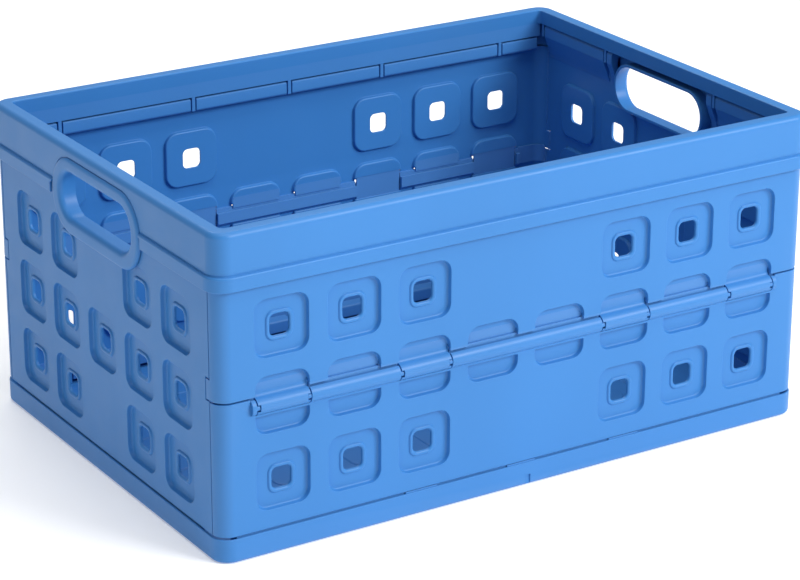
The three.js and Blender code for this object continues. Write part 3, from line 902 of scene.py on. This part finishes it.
# The frame's section, from the lip's foot up its outside, over the rim, down to the end of the
# inner skirt and back behind both: (inside the lip's outer face, height, plan radius).
RIM_SECTION = [
    (1.9, LIP_BOTTOM + 0.5, 14.3),
    (1.6, LIP_BOTTOM + 0.05, 14.5),
    (1.2, LIP_BOTTOM, 14.9),
    (0.5, LIP_BOTTOM + 0.2, 15.4),
    (0.12, LIP_BOTTOM + 0.6, 15.8),
    (0.0, LIP_BOTTOM + 1.2, 16.0),
    *LIP_UPPER,
    (1.95, LIP_TOP - 0.1, 14.05),
    (2.3, LIP_TOP + 0.15, 13.7),
    (2.35, LIP_TOP + 0.7, 13.65),
    (2.12, LIP_TOP + 1.4, 13.88),
    (2.0, LIP_TOP + 2.2, 14.0),
    *RIM_TOP,
    (RIM_INSIDE - 1.6, HEIGHT, 4.6),
    (RIM_INSIDE - 0.8, HEIGHT - 0.15, 4.3),
    (RIM_INSIDE - 0.25, HEIGHT - 0.6, 4.1),
    (RIM_INSIDE, HEIGHT - 1.4, 3.9),
    (RIM_INSIDE, END_SKIRT + 0.5, 3.9),
    (RIM_INSIDE - 0.2, END_SKIRT + 0.1, 4.1),
    (RIM_INSIDE - 0.6, END_SKIRT, 4.5),
    (RIM_INSIDE - 1.6, END_SKIRT, 5.5),
    (RIM_INSIDE - 2.2, END_SKIRT + 0.6, 6.1),
    (RIM_INSIDE - 2.2, HEIGHT - 2.4, 6.1),
    (RIM_INSET + 1.9, HEIGHT - 2.4, 12.1),
    (RIM_INSET + 1.9, LIP_TOP - 2.0, 12.1),
    (1.9, LIP_TOP - 2.0, 14.1),
]


def opening_outline(grow=0.0):
    r = (OPENING_HIGH - OPENING_LOW) / 2 - 0.6
    return rounded(
        -OPENING_HALF - grow,
        OPENING_HALF + grow,
        OPENING_LOW - grow,
        OPENING_HIGH + grow,
        r + grow,
        steps=12,
    )


def surround_outline(e):
    """The handle surround's outline, e inside its edge."""
    return rounded(
        -SURROUND_HALF + e,
        SURROUND_HALF - e,
        SURROUND_LOW + e,
        SURROUND_HIGH - e,
        SURROUND_RADIUS - e,
        steps=12,
    )


# The ring round a handle: (inside its outer edge, depth) and (outside the opening's edge, depth).
RING_OUTSIDE = [
    (0.0, 2.7),
    (0.0, 2.4),
    (0.12, 1.7),
    (0.5, 1.05),
    (1.15, 0.5),
    (2.1, 0.15),
    (3.4, 0.0),
]
RING_INSIDE = [(4.6, 0.0), (3.4, 0.12), (2.3, 0.5), (1.35, 1.15), (0.65, 2.0), (0.2, 3.1), (0.0, 4.4)]


def handle(shells, side):
    """The ring round a handle and the tunnel behind it, as one closed ring of rings."""
    back = LIP_X - 2.7
    outside = [(e, LIP_X - d) for e, d in RING_OUTSIDE]
    inside = [(g, LIP_X - d) for g, d in RING_INSIDE]
    inside += [(0.0, TUNNEL_END + 0.6), (0.2, TUNNEL_END + 0.15), (0.6, TUNNEL_END)]
    behind = [(2.0, TUNNEL_END), (2.4, TUNNEL_END + 0.3), (2.5, TUNNEL_END + 0.9), (2.5, back)]
    rings = [[(side * x, y, z) for y, z in surround_outline(e)] for e, x in outside]
    rings += [[(side * x, y, z) for y, z in opening_outline(g)] for g, x in inside + behind]
    shells.ring(rings)


def top_frame():
    shells = Shells()
    shells.ring([plan_ring(LIP_X - e, LIP_Y - e, r, z, 10) for e, z, r in RIM_SECTION])
    cutters = Shells()
    for side in (-1, 1):
        x0, x1 = sorted((side * (TUNNEL_END + 3.5), side * (LIP_X + 9)))
        cutters.prism(opening_outline(1.2), x0, x1, along_x, 0.1, 0.1)
        x0, x1 = sorted((side * (LIP_X - 2.75), side * (LIP_X + 9)))
        cutters.prism(surround_outline(-GROOVE), x0, x1, along_x, 0.05, 0.05)
        x0, x1 = sorted((side * (LIP_X - 2.8), side * (LIP_X + 8)))
        ends = rounded(-LIP_END, LIP_END, LIP_BOTTOM - 2, LIP_TOP - 2.4, 0.6, steps=2)
        cutters.prism(ends, x0, x1, along_x, 0.05, 0.05)
    mesh = cut_away(solid_mesh("top_frame", shells), cutters)
    extra = Shells()
    inner_y = LIP_Y - RIM_INSET - RIM_WIDTH
    for side in (-1, 1):
        handle(extra, side)
        y0, y1 = sorted((side * (inner_y + 0.04), side * (inner_y + 2.2)))
        skirt = rounded(y0, y1, STRIP_TOP, END_SKIRT + 4, 0.35, steps=2)
        extra.prism(skirt, -LIP_X + 14.2, LIP_X - 14.2, along_x, 0.2, 0.2)
        for x in RIB_X:
            y0, y1 = sorted((side * (BOTTOM_Y - 5), side * (FACE_Y - 0.4)))
            rib = rounded(y0, y1, TOP_Z - 5.5, HEIGHT - 1.5, 0.5, steps=2)
            extra.prism(rib, x - RIB_HALF, x + RIB_HALF, along_x, 0.3, 0.3)
        for at in END_RIB_Y:
            for y in (-at, at):
                x0, x1 = sorted((side * (END_AXIS_X - 4.8), side * (FACE_X - 0.4)))
                rib = rounded(x0, x1, END_AXIS_Z - 5.4, HEIGHT - 1.5, 0.5, steps=2)
                extra.prism(rib, y - RIB_HALF, y + RIB_HALF, along_y, 0.3, 0.3)
    return joined_mesh("top_frame", mesh, extra)


# ---- the crate --------------------------------------------------------------------------------
piece("crate_base", base_tray(), "base_tray", "base_tray")
lower = lower_half()
upper = upper_half()
end = end_wall()
for place_name, turned in (("front", False), ("back", True)):
    piece("wall_lower_" + place_name, lower, "lower_panel_" + place_name, "lower_panel_" + place_name, turned)
    piece("wall_upper_" + place_name, upper, "upper_panel_" + place_name, "upper_panel_" + place_name, turned)
for place_name, turned in (("left", False), ("right", True)):
    piece("wall_end_" + place_name, end, "end_panel_" + place_name, "end_panel_" + place_name, turned)
piece("crate_rim", top_frame(), "top_frame", "top_frame")


# ---- camera, light and floor ------------------------------------------------------------------
CAMERA_LENS = 130.97
CAMERA_PLACE = (-1.1462, -1.8277, 0.9398)
CAMERA_TURN = (32.135, 21.289, 0.159)  # heading from +Y towards +X, degrees down, and roll


def camera():
    data = bpy.data.cameras.new("camera")
    data.lens = CAMERA_LENS
    data.sensor_width = 36
    data.clip_end = 20
    made = bpy.data.objects.new("camera", data)
    bpy.context.scene.collection.objects.link(made)
    yaw, pitch, roll = (math.radians(a) for a in CAMERA_TURN)
    ahead = Vector((math.sin(yaw) * math.cos(pitch), math.cos(yaw) * math.cos(pitch), -math.sin(pitch)))
    level = Vector((math.cos(yaw), -math.sin(yaw), 0))
    upright = level.cross(ahead)
    right = level * math.cos(roll) + upright * math.sin(roll)
    up = upright * math.cos(roll) - level * math.sin(roll)
    turn = Matrix((right, up, -ahead)).transposed().to_4x4()
    made.matrix_world = Matrix.Translation(CAMERA_PLACE) @ turn
    bpy.context.scene.camera = made


def area_light(name, place, aim, size, power):
    data = bpy.data.lights.new(name, "AREA")
    data.shape = "RECTANGLE"
    data.size, data.size_y = size
    data.energy = power
    made = bpy.data.objects.new(name, data)
    made.location = place
    made.rotation_euler = (Vector(aim) - Vector(place)).to_track_quat("-Z", "Y").to_euler()
    bpy.context.scene.collection.objects.link(made)


def floor():
    mesh = bpy.data.meshes.new("floor")
    far = 6.0
    mesh.from_pydata([(-far, -far, 0), (far, -far, 0), (far, far, 0), (-far, far, 0)], [], [(0, 1, 2, 3)])
    made = bpy.data.objects.new("floor", mesh)
    bpy.context.scene.collection.objects.link(made)
    material = bpy.data.materials.new("pale_floor")
    material.use_nodes = True
    shader = material.node_tree.nodes["Principled BSDF"]
    shader.inputs["Base Color"].default_value = (0.93, 0.93, 0.93, 1)
    shader.inputs["Roughness"].default_value = 0.8
    shader.inputs["Emission Color"].default_value = (1, 1, 1, 1)
    shader.inputs["Emission Strength"].default_value = 0.3
    mesh.materials.append(material)


def world():
    made = bpy.data.worlds.new("studio")
    made.use_nodes = True
    background = made.node_tree.nodes["Background"]
    background.inputs["Color"].default_value = (1, 1, 1, 1)
    background.inputs["Strength"].default_value = 0.33
    bpy.context.scene.world = made


camera()
floor()
world()
area_light("key", (1.5, -2.35, 1.9), (0, 0, 0.12), (1.6, 1.2), 88)
area_light("top", (-0.1, -0.7, 2.8), (0, 0, 0.1), (2.0, 1.4), 30)
area_light("back", (0.4, 1.6, 2.2), (0, 0.1, 0.1), (1.6, 1.2), 18)
bpy.context.scene.view_settings.view_transform = "Standard"
